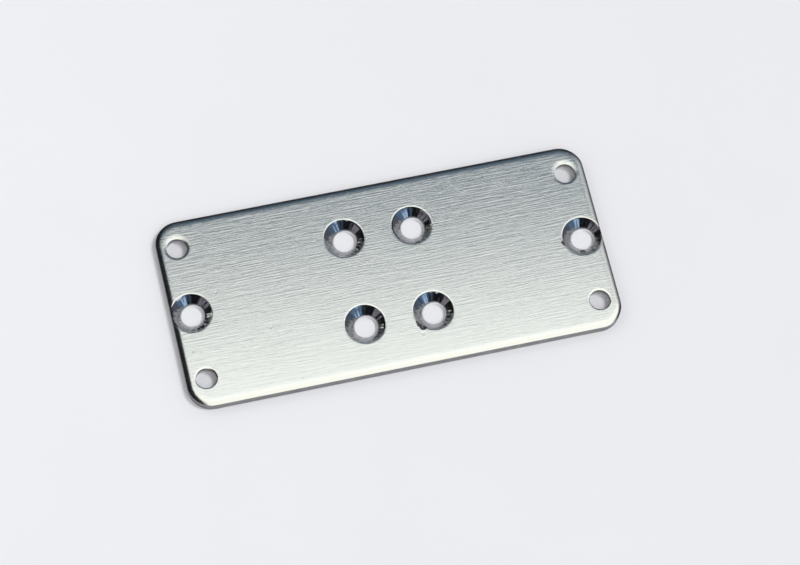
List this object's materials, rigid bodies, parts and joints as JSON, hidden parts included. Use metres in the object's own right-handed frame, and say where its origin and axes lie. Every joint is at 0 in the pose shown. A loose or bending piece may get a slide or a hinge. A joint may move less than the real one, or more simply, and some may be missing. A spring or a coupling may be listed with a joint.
{
  "type": "chassis plate",
  "caption": "Flat stamped plate of brushed steel with rounded corners, rolled edges, plain holes in its corners and countersunk screw holes at its ends and round its middle.",
  "frame": {"origin": "middle of the flat back face, on which the plate lies", "axes": "+X along the plate's length, +Y across its width, +Z out of the brushed show face"},
  "size_m": [0.088, 0.0398, 0.0025],
  "materials": {
    "brushed_sheet": "brushed along the length, with turned countersinks and sheared edges"
  },
  "bodies": {
    "root": {"plate": "brushed_sheet"}
  },
  "joints": []
}
